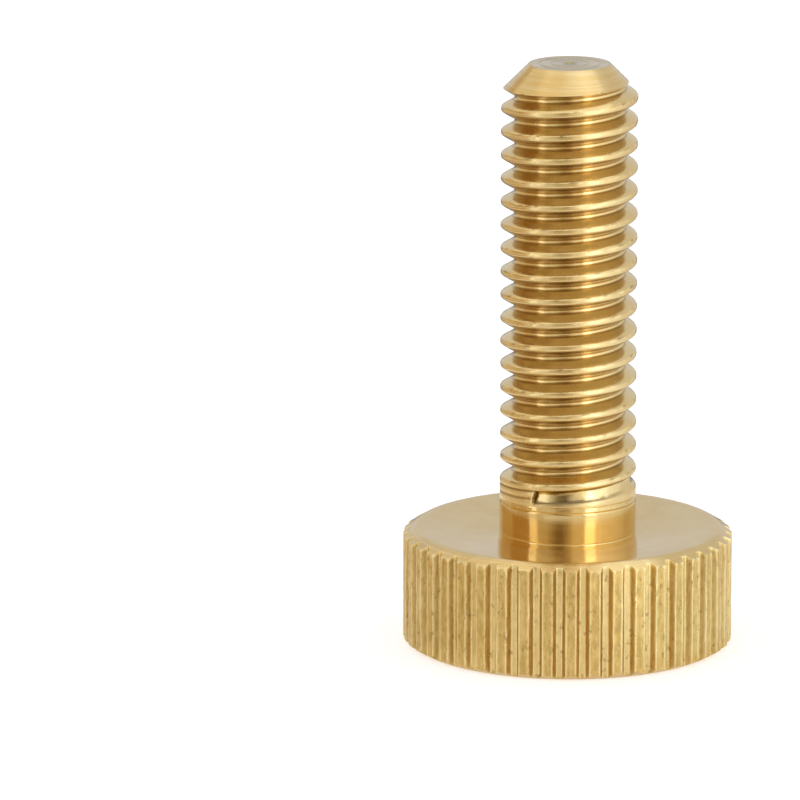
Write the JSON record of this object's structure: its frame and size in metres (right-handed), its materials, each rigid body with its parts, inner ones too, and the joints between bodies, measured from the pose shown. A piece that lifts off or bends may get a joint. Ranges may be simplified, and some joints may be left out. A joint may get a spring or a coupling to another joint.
{
  "type": "thumb screw",
  "caption": "Brass thumb screw with a straight-knurled round head, a short plain neck and a coarse metric machine thread, turned by hand to clamp or adjust.",
  "frame": {"origin": "centre of the head's flat outer face, which the screw stands on", "axes": "+Z runs along the screw's axis from the head to the threaded tip; the thread is right-handed about +Z; angles round the axis start at +X and the pictured front is -Y"},
  "size_m": [0.014, 0.014, 0.025],
  "materials": {
    "brass": "bright turned brass, lathe marks on the faces, slightly tarnished in the grooves"
  },
  "bodies": {
    "root": {"thumb_screw": "brass"}
  },
  "joints": []
}
